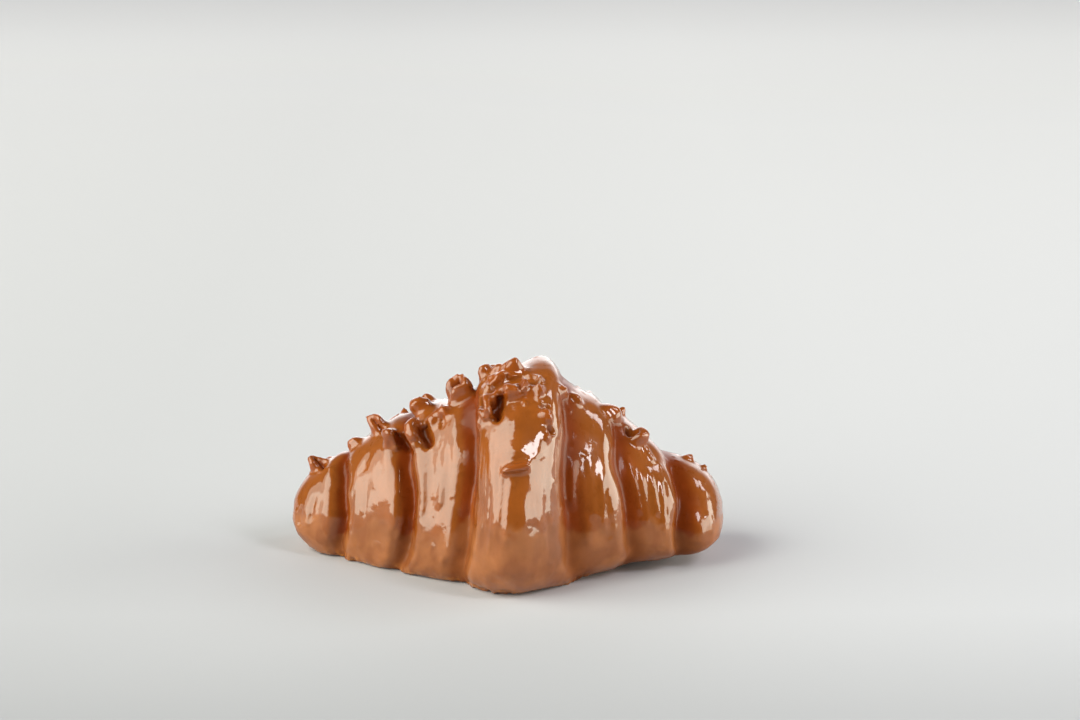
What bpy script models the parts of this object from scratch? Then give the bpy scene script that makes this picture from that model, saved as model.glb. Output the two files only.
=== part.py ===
"""A croissant coated in milk chocolate, with chopped nut pieces under the coat.

It is one solid, in metres, with +Z up. The horns lie along X and the rounded front faces -Y.
It stands on z = 0, with the origin under the middle of its box.
"""

import math
import random
from collections import namedtuple
from itertools import product

import bmesh
import bpy
import numpy as np
from mathutils import Matrix, Vector

MM = 0.001
NAME = "croissant"

# Edges between the seven bands of dough, from the left tip to the right one, in mm:
# where the edge crosses the ridge, how far it leans at mid height and at the base, how deep its groove is,
# how wide its round lip and the slope that comes out under it are, and how far that slope is rounded, from 0
# for straight to 1.
Edge = namedtuple("Edge", "ridge lean_mid lean_base groove lip slope crown")
EDGES = (
    Edge(-76.5, 0.0, 0.0, 0.0, 1.0, 1.0, 0.0),
    Edge(-55.5, 1.7, 1.5, 6.2, 3.4, 5.6, 0.1),
    Edge(-33.5, 6.5, 0.5, 7.4, 3.4, 7.0, 0.1),
    Edge(-12.0, 5.4, -1.0, 8.2, 3.4, 7.4, 0.1),
    Edge(14.0, -6.6, -0.5, 5.0, 6.0, 12.0, 0.5),
    Edge(28.0, 0.5, 3.0, 4.6, 5.4, 15.0, 0.4),
    Edge(47.0, 0.5, -1.0, 5.6, 4.0, 16.0, 0.4),
    Edge(69.0, 0.0, 0.0, 0.0, 1.0, 1.0, 0.0),
)

# Sections across the roll, in mm: place along the ridge, height of the ridge, reach to the front and to
# the back, and height of the underside, which below zero is cut flat by the table.
Section = namedtuple("Section", "along height front back underside")
SECTIONS = (
    Section(-76.5, 27.5, 20.0, 16.0, -1.0),
    Section(-66.0, 30.0, 17.5, 15.0, -3.5),
    Section(-55.5, 36.5, 20.0, 17.0, -5.0),
    Section(-33.5, 52.0, 30.2, 22.0, -6.5),
    Section(-20.0, 56.5, 34.0, 26.0, -5.5),
    Section(-11.0, 65.0, 40.6, 29.0, -5.0),
    Section(0.0, 67.5, 49.4, 31.0, -5.0),
    Section(10.0, 70.1, 43.2, 29.5, -4.5),
    Section(20.0, 60.0, 35.8, 26.0, -2.2),
    Section(32.0, 52.3, 31.0, 24.0, 0.4),
    Section(47.0, 38.2, 30.0, 20.0, 1.8),
    Section(58.0, 33.3, 29.5, 18.5, 3.3),
    Section(69.0, 32.4, 24.0, 17.0, 3.8),
)

WIDEST_AT = 0.25  # share of the ridge height where a section is widest
UPPER_POWER = 2.05  # superellipse powers of the dome and of the lower half
LOWER_POWER = 2.5
BEND_LEFT = 0.37  # how fast each horn swings back
BEND_RIGHT = 0.32
BEND_RADIUS = 12.0 * MM
FRONT_FAN = 0.75  # how far the sections turn to stay square to the bend
BACK_FAN = 0.40
LEFT_CAP = 17.0 * MM  # length of the round end of each horn
RIGHT_CAP = 18.0 * MM
CAP_POWER = 2.3
LEFT_CAP_LEVEL = 0.45  # height of each horn's tip, as a share of the ridge height
RIGHT_CAP_LEVEL = 0.42

# How the edges waver round the roll: how far in mm, how many waves, and the shift from edge to edge.
WAVERS = ((0.7, 4, 2.1), (0.35, 9, 4.3))
TOP_FILL = 0.50  # share of a groove that the coat fills on the ridge and at the base
TOP_FILL_FROM = (0.75, 1.0)  # sines of the angles between which that sets in
BASE_FILL = 0.72
BASE_FILL_FROM = (0.1, 0.8)

RINGS_PER_BAND = 11
POINTS_AROUND = 36

# Nut pieces that stand out, the larger ones first: place along the ridge in mm and angle round the roll in
# degrees from the front over the top, then length, width and height in mm, turn in degrees, and how far the
# top is drawn in to a peak, from 0 to 1.
Nut = namedtuple("Nut", "along around length width height turn peak")
MAIN_NUTS = (
    Nut(-1.2, 64, 15.0, 6.5, 7.5, 6, 0.10),
    Nut(0.3, 31, 11.5, 3.2, 5.5, 2, 0.00),
    Nut(-0.6, 80, 11.5, 9.5, 11.2, 20, 0.70),
    Nut(-6.2, 57, 3.6, 11.5, 6.0, 5, 0.30),
    Nut(-17.1, 80, 10.0, 8.5, 11.5, 15, 0.05),
    Nut(-31.0, 80, 9.5, 8.0, 8.0, 10, 0.35),
    Nut(-40.0, 60, 6.0, 9.0, 6.5, -25, 0.60),
    Nut(-45.0, 80, 8.0, 8.5, 9.5, 30, 0.25),
    Nut(29.0, 75, 10.5, 8.5, 6.8, -12, 0.35),
    Nut(-8.9, 52, 3.6, 9.0, 3.4, -22, 0.50),
    Nut(1.2, 65, 8.0, 7.0, 8.5, 25, 0.35),
    Nut(-30.9, 57, 4.5, 9.0, 6.0, 8, 0.45),
    Nut(35.8, 62, 6.0, 7.5, 7.0, -25, 0.10),
    Nut(-5.4, 74, 8.0, 6.0, 6.0, 20, 0.30),
    Nut(-67.0, 80, 6.5, 6.5, 9.0, -20, 0.55),
    Nut(-54.0, 81, 6.5, 6.0, 6.0, 0, 0.30),
    Nut(-5.0, 83, 6.5, 5.0, 4.5, 0, 0.20),
    Nut(-22.0, 70, 5.0, 7.5, 6.5, 38, 0.30),
    Nut(5.6, 61, 5.0, 6.0, 6.0, 10, 0.30),
    Nut(-9.7, 86, 5.5, 6.0, 5.5, -40, 0.40),
    Nut(12.9, 68, 5.5, 5.5, 4.5, 40, 0.40),
    Nut(7.6, 48, 4.0, 5.5, 4.5, 10, 0.40),
    Nut(17.5, 69, 5.5, 4.5, 4.0, -20, 0.40),
    Nut(-26.0, 66, 4.5, 6.5, 4.0, -30, 0.20),
    Nut(57.0, 84, 5.0, 3.5, 3.0, 0, 0.30),
    Nut(34.5, 90, 4.0, 4.0, 5.5, 30, 0.60),
    Nut(8.6, 39, 3.2, 4.0, 3.4, 0, 0.40),
    Nut(62.0, 78, 3.2, 3.0, 3.2, 45, 0.50),
)
NUT_SUNK = 0.36  # share of a piece's height that lies in the dough
NUT_PULL = 0.46  # how far a corner may be pulled in, as a share of the half size
NUT_FACETS = 8  # points on the egg inside the block that add facets to its sides
NUT_EGG = 1.06  # size of that egg, as a share of the block
NUT_TILT = math.radians(14)  # how far a piece may tip over either way
PROBE = 0.2 * MM  # steps along and round the skin that give its direction under a piece
PROBE_ANGLE = 0.01

# The other pieces are scattered over the ridge and the back.
MORE_NUTS = 26
MORE_LARGEST = 7.5  # mm
MORE_SMALLEST = 3.2
MORE_ALONG = (-68.0, 62.0)  # mm
MORE_AROUND = (97.0, 140.0)  # degrees
BARE_TOP = (2.0, 16.0)  # mm along the ridge, where the top is smooth
MORE_WIDTH = (0.65, 0.95)  # shares of a piece's length
MORE_HEIGHT = (0.70, 1.05)
MORE_PEAK = (0.1, 0.7)
MORE_SPACING = 0.75  # least gap between two centres, as a share of their lengths together
TRIES = 60
SEED = 11

CHOCOLATE = (0.310, 0.105, 0.032, 1.0)
ROUGHNESS = 0.22
SHARP_ANGLE = math.radians(55)


def column(rows, name):
    """One measure of every row, in metres."""
    return np.array([getattr(row, name) for row in rows]) * MM


def through(x, places, values):
    """A smooth curve through the values at the given places."""
    slopes = np.gradient(values, places)
    low = np.clip(np.searchsorted(places, x) - 1, 0, len(places) - 2)
    step = places[low + 1] - places[low]
    t = (x - places[low]) / step
    return (
        (2 * t**3 - 3 * t**2 + 1) * values[low]
        + (t**3 - 2 * t**2 + t) * step * slopes[low]
        + (3 * t**2 - 2 * t**3) * values[low + 1]
        + (t**3 - t**2) * step * slopes[low + 1]
    )


def ramp(x, start, end):
    """From 0 at start to 1 at end, with soft ends."""
    t = np.clip((x - start) / (end - start), 0, 1)
    return t * t * (3 - 2 * t)


def spine(along):
    """How far the roll's middle swings back, and its slope."""
    bend = np.where(along < 0, BEND_LEFT, BEND_RIGHT)
    run = np.sqrt(along**2 + BEND_RADIUS**2)
    return bend * (run - BEND_RADIUS), bend * along / run


def groove(along, around):
    """How far the skin dips under the bands' edges: a round lip on the inner side, a slope on the outer."""
    dip = np.zeros_like(along)
    for number, edge in enumerate(EDGES[1:-1]):
        waver = sum(
            width * MM * np.sin(waves * around + number * phase)
            for width, waves, phase in WAVERS
        )
        out = math.copysign(1, edge.ridge) * (along - edge.ridge * MM - waver)
        lip = np.clip(1 + out / (edge.lip * MM), 0, 1)
        inner = np.where(out <= 0, 1 - np.sqrt(1 - lip**2), 0)
        fall = np.clip(out / (edge.slope * MM), 0, 1)
        outer = np.where(out > 0, 1 - fall * (1 + edge.crown * (1 - fall)), 0)
        dip = np.maximum(dip, edge.groove * MM * (inner + outer))
    return dip


def cap(along):
    """Shrinks the sections to nothing towards each tip."""
    left = (EDGES[0].ridge * MM + LEFT_CAP - along) / LEFT_CAP
    right = (along - EDGES[-1].ridge * MM + RIGHT_CAP) / RIGHT_CAP
    t = np.clip(np.where(along < 0, left, right), 0, 1)
    return np.sqrt(np.clip(1 - t**CAP_POWER, 0, 1))


def skin(along, around):
    """Points of the dough's skin, for places along the ridge and angles round the roll."""
    places = column(SECTIONS, "along")
    height, front, back, underside = (
        through(along, places, column(SECTIONS, name))
        for name in ("height", "front", "back", "underside")
    )
    cos, sin = np.cos(around), np.sin(around)
    widest = WIDEST_AT * height
    reach = np.where(cos > 0, front, back)
    power = 2 / np.where(sin > 0, UPPER_POWER, LOWER_POWER)
    rise = np.where(sin > 0, height - widest, widest - underside)
    out = reach * np.sign(cos) * np.abs(cos) ** power
    up = rise * np.sign(sin) * np.abs(sin) ** power

    kept = 1 - TOP_FILL * ramp(sin, *TOP_FILL_FROM)
    kept = kept * (1 - BASE_FILL * ramp(-sin, *BASE_FILL_FROM))
    inset = 1 - groove(along, around) * kept / np.hypot(out, up)
    level = np.where(along < 0, LEFT_CAP_LEVEL, RIGHT_CAP_LEVEL) * height
    out = out * inset * cap(along)
    up = level + (widest + up * inset - level) * cap(along)

    ridges = column(EDGES, "ridge")
    mid = through(along, ridges, column(EDGES, "lean_mid"))
    base = through(along, ridges, column(EDGES, "lean_base"))
    share = np.clip(up / height, 0, 1)
    lean = mid * 4 * share * (1 - share) + base * (1 - share) * (1 - 2 * share)
    lean = lean * np.sqrt(np.clip(np.abs(out) / reach, 0, 1))

    set_back, slope = spine(along)
    turn = np.where(cos > 0, FRONT_FAN, BACK_FAN) * np.arctan(slope)
    return np.stack(
        [
            along + lean + out * np.sin(turn),
            set_back - out * np.cos(turn),
            np.maximum(up, 0),
        ],
        axis=-1,
    )


def ring_places(per_band):
    """Places of the rings along the ridge, closer together at the bands' edges."""
    share = 0.5 - 0.5 * np.cos(np.linspace(0, np.pi, per_band + 1))
    ridges = column(EDGES, "ridge")
    inside = [a + (b - a) * share[:-1] for a, b in zip(ridges[:-1], ridges[1:])]
    return np.append(np.concatenate(inside), ridges[-1])


def object_of(bm, name, collection):
    mesh = bpy.data.meshes.new(name)
    bm.to_mesh(mesh)
    bm.free()
    obj = bpy.data.objects.new(name, mesh)
    collection.objects.link(obj)
    return obj


def make_dough():
    """A sphere whose rings are moved onto the roll's sections, its poles becoming the two tips."""
    rings = ring_places(RINGS_PER_BAND)
    rows = len(rings) - 1
    bm = bmesh.new()
    bmesh.ops.create_uvsphere(bm, u_segments=POINTS_AROUND, v_segments=rows, radius=1)
    corners = np.array([corner.co for corner in bm.verts])
    row = np.rint(np.arccos(np.clip(corners[:, 2], -1, 1)) / np.pi * rows).astype(int)
    around = np.arctan2(corners[:, 1], corners[:, 0])
    for corner, point in zip(bm.verts, skin(rings[row], around)):
        corner.co = point
    bmesh.ops.recalc_face_normals(bm, faces=bm.faces)
    return object_of(bm, NAME, bpy.context.scene.collection)


def resting_frame(nut):
    """Where a nut piece lies: its centre, with axes along its length, its width and out of the skin."""
    along = nut.along * MM + PROBE * np.array([0, 1, -1, 0, 0])
    around = math.radians(nut.around) + PROBE_ANGLE * np.array([0, 0, 0, 1, -1])
    spot, right, left, over, under = (Vector(point) for point in skin(along, around))
    ahead = (right - left).normalized()
    outward = ahead.cross(over - under).normalized()
    ahead.rotate(Matrix.Rotation(math.radians(nut.turn), 3, outward))
    aside = outward.cross(ahead).normalized()
    ahead = aside.cross(outward)
    centre = spot + outward * nut.height * MM * (0.5 - NUT_SUNK)
    frame = Matrix((ahead, aside, outward)).transposed().to_4x4()
    frame.translation = centre
    return frame


def nut_points(nut, draw):
    """A chopped piece's corners: a block's, each pulled in a little, its top drawn in by the piece's peak."""
    half = Vector((nut.length, nut.width, nut.height)) * MM / 2
    points = []
    for corner in product((-1, 1), repeat=3):
        x, y, z = (side * (1 - draw.uniform(0, NUT_PULL)) for side in corner)
        narrow = 1 - nut.peak if z > 0 else 1
        points.append(Vector((x * narrow * half.x, y * narrow * half.y, z * half.z)))
    for _ in range(NUT_FACETS):
        angle = draw.uniform(0, 2 * math.pi)
        level = draw.uniform(-0.2, 0.9)
        width = math.sqrt(1 - level**2) * (1 - nut.peak * max(level, 0))
        egg = Vector((math.cos(angle) * width, math.sin(angle) * width, level))
        points.append(Vector(a * b for a, b in zip(egg, half)) * NUT_EGG)
    tip = Matrix.Rotation(draw.uniform(-NUT_TILT, NUT_TILT), 3, "X")
    tip @= Matrix.Rotation(draw.uniform(-NUT_TILT, NUT_TILT), 3, "Y")
    return [tip @ point for point in points]


def make_nut(nut, draw, collection):
    """A chopped piece: facets spanned over its corners."""
    frame = resting_frame(nut)
    bm = bmesh.new()
    for point in nut_points(nut, draw):
        bm.verts.new(frame @ point)
    hull = bmesh.ops.convex_hull(bm, input=bm.verts)
    bmesh.ops.delete(bm, geom=hull["geom_interior"], context="VERTS")
    bmesh.ops.recalc_face_normals(bm, faces=bm.faces)
    return object_of(bm, "nut", collection)


def scattered_nuts(draw):
    """More pieces over the ridge and the back, the largest first, none on top of another."""
    placed = [(nut, resting_frame(nut).translation) for nut in MAIN_NUTS]
    added = []
    for step in range(MORE_NUTS):
        size = MORE_LARGEST + (MORE_SMALLEST - MORE_LARGEST) * step / (MORE_NUTS - 1)
        for _ in range(TRIES):
            nut = Nut(
                draw.uniform(*MORE_ALONG),
                draw.uniform(*MORE_AROUND),
                size,
                size * draw.uniform(*MORE_WIDTH),
                size * draw.uniform(*MORE_HEIGHT),
                draw.uniform(0, 180),
                draw.uniform(*MORE_PEAK),
            )
            if BARE_TOP[0] < nut.along < BARE_TOP[1]:
                continue
            spot = resting_frame(nut).translation
            if all(
                (spot - other).length > MORE_SPACING * (size + piece.length) * MM / 2
                for piece, other in placed
            ):
                placed.append((nut, spot))
                added.append(nut)
                break
    return added


def fuse(body, pieces):
    """Joins every piece to the body in one union, then removes the pieces."""
    union = body.modifiers.new("nuts", "BOOLEAN")
    union.operation = "UNION"
    union.operand_type = "COLLECTION"
    union.collection = pieces
    union.solver = "EXACT"
    bpy.context.view_layer.update()
    graph = bpy.context.evaluated_depsgraph_get()
    joined = bpy.data.meshes.new_from_object(body.evaluated_get(graph))
    body.modifiers.remove(union)
    body.data = joined
    for piece in list(pieces.objects):
        bpy.data.objects.remove(piece)
    bpy.data.collections.remove(pieces)


def stand_at_origin(body):
    """Moves the mesh so that it stands on z = 0 with the origin under the middle of its box."""
    points = np.array([corner.co for corner in body.data.vertices])
    low, high = points.min(axis=0), points.max(axis=0)
    middle = Vector(((low[0] + high[0]) / 2, (low[1] + high[1]) / 2, low[2]))
    body.data.transform(Matrix.Translation(-middle))


def chocolate():
    material = bpy.data.materials.new("milk_chocolate")
    material.use_nodes = True
    surface = material.node_tree.nodes["Principled BSDF"]
    surface.inputs["Base Color"].default_value = CHOCOLATE
    surface.inputs["Roughness"].default_value = ROUGHNESS
    surface.inputs["Metallic"].default_value = 0.0
    return material


def main():
    for obj in list(bpy.data.objects):
        bpy.data.objects.remove(obj)
    draw = random.Random(SEED)
    body = make_dough()
    pieces = bpy.data.collections.new("nuts")
    bpy.context.scene.collection.children.link(pieces)
    for nut in [*MAIN_NUTS, *scattered_nuts(draw)]:
        make_nut(nut, draw, pieces)
    fuse(body, pieces)
    stand_at_origin(body)
    body.data.materials.clear()
    body.data.materials.append(chocolate())
    body.data.shade_smooth()
    body.data.set_sharp_from_angle(angle=SHARP_ANGLE)


main()
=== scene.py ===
"""The looks of a croissant coated in milk chocolate, built around its solid.

The dough and the nut pieces are made again from the sizes that the solid has, on a fine mesh.
The coat then fills the creases, runs down the sides in streaks and drips, and collects at the foot.
Lengths are in millimetres where a value says so, and in metres everywhere else. The front faces -Y.
"""

import math
import random
from collections import namedtuple
from itertools import product

import bmesh
import bpy
import numpy as np
from mathutils import Matrix, Vector, noise
from mathutils.kdtree import KDTree

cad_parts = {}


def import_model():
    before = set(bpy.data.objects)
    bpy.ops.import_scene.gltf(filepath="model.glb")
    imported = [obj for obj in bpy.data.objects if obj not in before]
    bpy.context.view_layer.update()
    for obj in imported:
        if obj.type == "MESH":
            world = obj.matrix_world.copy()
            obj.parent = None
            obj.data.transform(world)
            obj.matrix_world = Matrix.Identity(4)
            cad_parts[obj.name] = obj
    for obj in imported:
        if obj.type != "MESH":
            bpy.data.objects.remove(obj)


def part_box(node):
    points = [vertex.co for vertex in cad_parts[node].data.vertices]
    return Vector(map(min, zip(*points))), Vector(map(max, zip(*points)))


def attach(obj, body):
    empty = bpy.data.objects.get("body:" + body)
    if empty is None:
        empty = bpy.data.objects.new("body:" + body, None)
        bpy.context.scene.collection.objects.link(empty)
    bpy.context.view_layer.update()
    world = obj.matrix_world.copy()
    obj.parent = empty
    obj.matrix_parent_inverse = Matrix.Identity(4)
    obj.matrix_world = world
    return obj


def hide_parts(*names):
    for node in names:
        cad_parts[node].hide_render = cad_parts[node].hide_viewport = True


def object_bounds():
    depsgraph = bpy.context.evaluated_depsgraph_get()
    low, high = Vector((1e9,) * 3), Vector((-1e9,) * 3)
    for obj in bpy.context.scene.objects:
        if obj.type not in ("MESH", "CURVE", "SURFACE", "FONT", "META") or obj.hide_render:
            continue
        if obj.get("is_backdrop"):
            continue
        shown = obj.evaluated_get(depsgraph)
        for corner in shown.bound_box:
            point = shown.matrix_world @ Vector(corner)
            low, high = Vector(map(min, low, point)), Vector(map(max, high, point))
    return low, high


MM = 0.001

# ---- The form: the same sizes as the solid's ----

# Edges between the seven bands of dough, from the left tip to the right one, in mm: where the edge crosses
# the ridge, how far it leans at mid height and at the base, how deep its groove is, how wide its round lip
# and the slope that comes out under it are, and how far that slope is rounded, from 0 for straight to 1.
Edge = namedtuple("Edge", "ridge lean_mid lean_base groove lip slope crown")
EDGES = (
    Edge(-76.5, 0.0, 0.0, 0.0, 1.0, 1.0, 0.0),
    Edge(-55.5, 1.7, 1.5, 6.2, 3.4, 5.6, 0.1),
    Edge(-33.5, 6.5, 0.5, 7.4, 3.4, 7.0, 0.1),
    Edge(-12.0, 5.4, -1.0, 8.2, 3.4, 7.4, 0.1),
    Edge(14.0, -6.6, -0.5, 5.0, 6.0, 12.0, 0.5),
    Edge(28.0, 0.5, 3.0, 4.6, 5.4, 15.0, 0.4),
    Edge(47.0, 0.5, -1.0, 5.6, 4.0, 16.0, 0.4),
    Edge(69.0, 0.0, 0.0, 0.0, 1.0, 1.0, 0.0),
)

# Sections across the roll, in mm: place along the ridge, height of the ridge, reach to the front and to the
# back, and height of the underside, which below zero is cut flat by the table.
Section = namedtuple("Section", "along height front back underside")
SECTIONS = (
    Section(-76.5, 27.5, 20.0, 16.0, -1.0),
    Section(-66.0, 30.0, 17.5, 15.0, -3.5),
    Section(-55.5, 36.5, 20.0, 17.0, -5.0),
    Section(-33.5, 52.0, 30.2, 22.0, -6.5),
    Section(-20.0, 56.5, 34.0, 26.0, -5.5),
    Section(-11.0, 65.0, 40.6, 29.0, -5.0),
    Section(0.0, 67.5, 49.4, 31.0, -5.0),
    Section(10.0, 70.1, 43.2, 29.5, -4.5),
    Section(20.0, 60.0, 35.8, 26.0, -2.2),
    Section(32.0, 52.3, 31.0, 24.0, 0.4),
    Section(47.0, 38.2, 30.0, 20.0, 1.8),
    Section(58.0, 33.3, 29.5, 18.5, 3.3),
    Section(69.0, 32.4, 24.0, 17.0, 3.8),
)

WIDEST_AT = 0.25  # share of the ridge height where a section is widest
UPPER_POWER = 2.05  # superellipse powers of the dome and of the lower half
LOWER_POWER = 2.5
BEND_LEFT = 0.37  # how fast each horn swings back
BEND_RIGHT = 0.32
BEND_RADIUS = 12.0 * MM  # how far from the middle the bend between them is rounded
FRONT_FAN = 0.75  # how far the sections turn to stay square to the bend
BACK_FAN = 0.40
LEFT_CAP = 17.0 * MM  # length of the round end of each horn
RIGHT_CAP = 18.0 * MM
CAP_POWER = 2.3  # superellipse power of these ends
LEFT_CAP_LEVEL = 0.45  # height of each horn's tip, as a share of the ridge height
RIGHT_CAP_LEVEL = 0.42

# How the edges waver round the roll: how far in mm, how many waves, and the shift from edge to edge.
WAVERS = ((0.7, 4, 2.1), (0.35, 9, 4.3))
TOP_FILL = 0.50  # share of a groove that the coat fills on the ridge and at the base
TOP_FILL_FROM = (0.75, 1.0)  # sines of the angles between which that sets in
BASE_FILL = 0.72
BASE_FILL_FROM = (0.1, 0.8)

RINGS_PER_BAND = 34  # rings of points in each band of dough, and points in a ring
POINTS_AROUND = 200

# Nut pieces that stand out, the larger ones first: place along the ridge in mm and angle round the roll in
# degrees from the front over the top, then length, width and height in mm, turn in degrees, and how far the
# top is drawn in to a peak, from 0 to 1.
Nut = namedtuple("Nut", "along around length width height turn peak")
MAIN_NUTS = (
    Nut(-1.2, 64, 15.0, 6.5, 7.5, 6, 0.10),
    Nut(0.3, 31, 11.5, 3.2, 5.5, 2, 0.00),
    Nut(-0.6, 80, 11.5, 9.5, 11.2, 20, 0.70),
    Nut(-6.2, 57, 3.6, 11.5, 6.0, 5, 0.30),
    Nut(-17.1, 80, 10.0, 8.5, 11.5, 15, 0.05),
    Nut(-31.0, 80, 9.5, 8.0, 8.0, 10, 0.35),
    Nut(-40.0, 60, 6.0, 9.0, 6.5, -25, 0.60),
    Nut(-45.0, 80, 8.0, 8.5, 9.5, 30, 0.25),
    Nut(29.0, 75, 10.5, 8.5, 6.8, -12, 0.35),
    Nut(-8.9, 52, 3.6, 9.0, 3.4, -22, 0.50),
    Nut(1.2, 65, 8.0, 7.0, 8.5, 25, 0.35),
    Nut(-30.9, 57, 4.5, 9.0, 6.0, 8, 0.45),
    Nut(35.8, 62, 6.0, 7.5, 7.0, -25, 0.10),
    Nut(-5.4, 74, 8.0, 6.0, 6.0, 20, 0.30),
    Nut(-67.0, 80, 6.5, 6.5, 9.0, -20, 0.55),
    Nut(-54.0, 81, 6.5, 6.0, 6.0, 0, 0.30),
    Nut(-5.0, 83, 6.5, 5.0, 4.5, 0, 0.20),
    Nut(-22.0, 70, 5.0, 7.5, 6.5, 38, 0.30),
    Nut(5.6, 61, 5.0, 6.0, 6.0, 10, 0.30),
    Nut(-9.7, 86, 5.5, 6.0, 5.5, -40, 0.40),
    Nut(12.9, 68, 5.5, 5.5, 4.5, 40, 0.40),
    Nut(7.6, 48, 4.0, 5.5, 4.5, 10, 0.40),
    Nut(17.5, 69, 5.5, 4.5, 4.0, -20, 0.40),
    Nut(-26.0, 66, 4.5, 6.5, 4.0, -30, 0.20),
    Nut(57.0, 84, 5.0, 3.5, 3.0, 0, 0.30),
    Nut(34.5, 90, 4.0, 4.0, 5.5, 30, 0.60),
    Nut(8.6, 39, 3.2, 4.0, 3.4, 0, 0.40),
    Nut(62.0, 78, 3.2, 3.0, 3.2, 45, 0.50),
)
NUT_SUNK = 0.36  # share of a piece's height that lies in the dough
NUT_PULL = 0.46  # how far a corner may be pulled in, as a share of the half size
NUT_FACETS = 8  # points on the egg inside the block that add facets to its sides
NUT_EGG = 1.06  # size of that egg, as a share of the block
NUT_EGG_LEVELS = (-0.2, 0.9)  # lowest and highest of those points, where the egg goes from -1 to 1
NUT_TILT = math.radians(14)  # how far a piece may tip over either way
PROBE = 0.2 * MM  # steps along and round the skin that give its direction under a piece
PROBE_ANGLE = 0.01

# The other pieces are scattered over the ridge and the back.
MORE_NUTS = 26
MORE_LARGEST = 7.5  # mm long
MORE_SMALLEST = 3.2
MORE_ALONG = (-68.0, 62.0)  # mm along the ridge
MORE_AROUND = (97.0, 140.0)  # degrees round the roll
BARE_TOP = (2.0, 16.0)  # mm along the ridge, where the top is smooth
MORE_WIDTH = (0.65, 0.95)  # shares of a piece's length
MORE_HEIGHT = (0.70, 1.05)
MORE_PEAK = (0.1, 0.7)
MORE_SPACING = 0.75  # least gap between two centres, as a share of the mean of their lengths
TRIES = 60  # places tried for each piece
SEED = 11  # for all that is drawn at random

# ---- The coat ----

VOXEL = 0.66 * MM  # size of the fine mesh's faces
EVEN_STEPS = 3  # rounds of smoothing that take out the fine mesh's stairs
# Rounds of pouring: how many steps of smoothing each compares with, the share of a hollow that it fills,
# and the share of a bump that it takes down. The first list is for the whole coat, the second for the nuts.
POURS = ((6, 0.5, 0.3), (12, 0.3, 0.05))
NUT_POURS = ((5, 0.9, 0.65), (12, 0.9, 0.25), (30, 0.75, 0.0))
NUT_STANDS = (0.5, 1.6)  # mm above the dough between which a point comes to count as a nut's
NUT_SPREAD = 8  # steps by which that spreads to the coat around the nuts
NUT_GAIN = 2.0  # how much it is raised after that
SKIRT_POUR = (45, 0.6, 0.4)  # one more round for the skirt under the widest line, where the creases run out
SKIRT_FROM = (8.0, -22.0)  # degrees round the roll between which that sets in

# Folds and hollows of the coat over and between the nut pieces: the places in mm and angles in degrees that
# one passes through, its half width and its height in mm. One with a height below zero is a hollow, and a
# deep one gets painted shade inside.
Trail = namedtuple("Trail", "places width height")
TRAILS = (
    # The sheet under the peak: its rim, the shade over it, and the lumps under it.
    Trail(((-8.2, 66), (-7.4, 69), (-5, 71.5), (-3, 75), (0, 75.5), (3, 74), (5.4, 71), (6.4, 67)), 0.8, 1.7),
    Trail(((-6.5, 74.5), (-3.4, 79)), 0.8, -1.0),
    Trail(((-2.2, 67), (-1.8, 63.5)), 1.2, 1.0),
    Trail(((2.0, 69), (2.8, 65), (2.3, 62)), 0.5, 1.3),
    Trail(((1.2, 65.5), (1.6, 62)), 0.8, -1.8),
    Trail(((2.0, 59), (2.2, 57.5)), 0.7, 0.9),
    Trail(((4.3, 71.5), (5.0, 71)), 0.7, -1.2),
    # The leaf, the leg and the cavity under the sheet's left end.
    Trail(((-9.4, 64), (-9.2, 58), (-7.6, 51.5)), 0.7, 1.4),
    Trail(((-8.3, 63), (-7.2, 53.5)), 0.5, -0.9),
    Trail(((-6.9, 68), (-6.3, 60), (-6.1, 52.5)), 0.8, 2.4),
    Trail(((-3.4, 62), (-4.5, 57), (-4.9, 52.5)), 1.2, -3.2),
    # Strands up to the left of the peak.
    Trail(((-11.5, 73), (-9.0, 78), (-5.0, 82)), 1.2, 1.2),
    Trail(((-12.5, 80), (-10.0, 84)), 1.0, 0.8),
    # The mouth of the ball-like piece and its rim.
    Trail(((-18.8, 77), (-17.0, 79), (-15.3, 80)), 1.2, -2.8),
    Trail(((-19.6, 79), (-18.4, 82), (-16.0, 83)), 0.8, 0.9),
    # Ridges and hollows down to the left.
    Trail(((-23.0, 60), (-22.4, 64)), 0.7, -0.9),
    Trail(((-30.8, 63), (-31.4, 56), (-31.9, 49)), 1.1, 2.0),
    Trail(((-28.8, 61), (-28.5, 55), (-28.2, 50)), 1.2, -3.2),
    Trail(((-33.4, 68), (-33.2, 60)), 0.9, 1.2),
    Trail(((-38.0, 66), (-36.4, 61), (-35.4, 56)), 1.4, -2.4),
    Trail(((-41.6, 66), (-39.9, 60), (-38.9, 54)), 1.0, 1.8),
    Trail(((-44.6, 77), (-43.6, 72)), 1.0, -2.2),
    Trail(((-54.8, 84), (-54.0, 84)), 0.8, -1.4),
    Trail(((-66.0, 79), (-65.2, 73)), 1.3, -2.4),
    Trail(((-69.8, 76), (-67.0, 74)), 0.6, 0.8),
    # The right side: small folds under the ridge, and the tooth-like piece.
    Trail(((6.2, 68), (6.6, 62)), 0.8, 1.1),
    Trail(((6.4, 53.5), (8.6, 52.5)), 0.6, -1.4),
    Trail(((5.5, 58), (6.2, 55.5)), 0.7, 0.8),
    Trail(((7.8, 50), (8.8, 46)), 0.7, 0.8),
    Trail(((9.4, 43), (10.4, 41.5)), 0.9, -1.8),
    Trail(((34.3, 68), (34.0, 62)), 1.0, -2.6),
    Trail(((36.8, 68), (38.0, 60), (40.0, 53)), 1.3, 1.4),
)
HOLLOW_SHADE_FROM = (0.7, 2.2)  # mm of depth over which painted shade sets in inside a hollow
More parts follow.
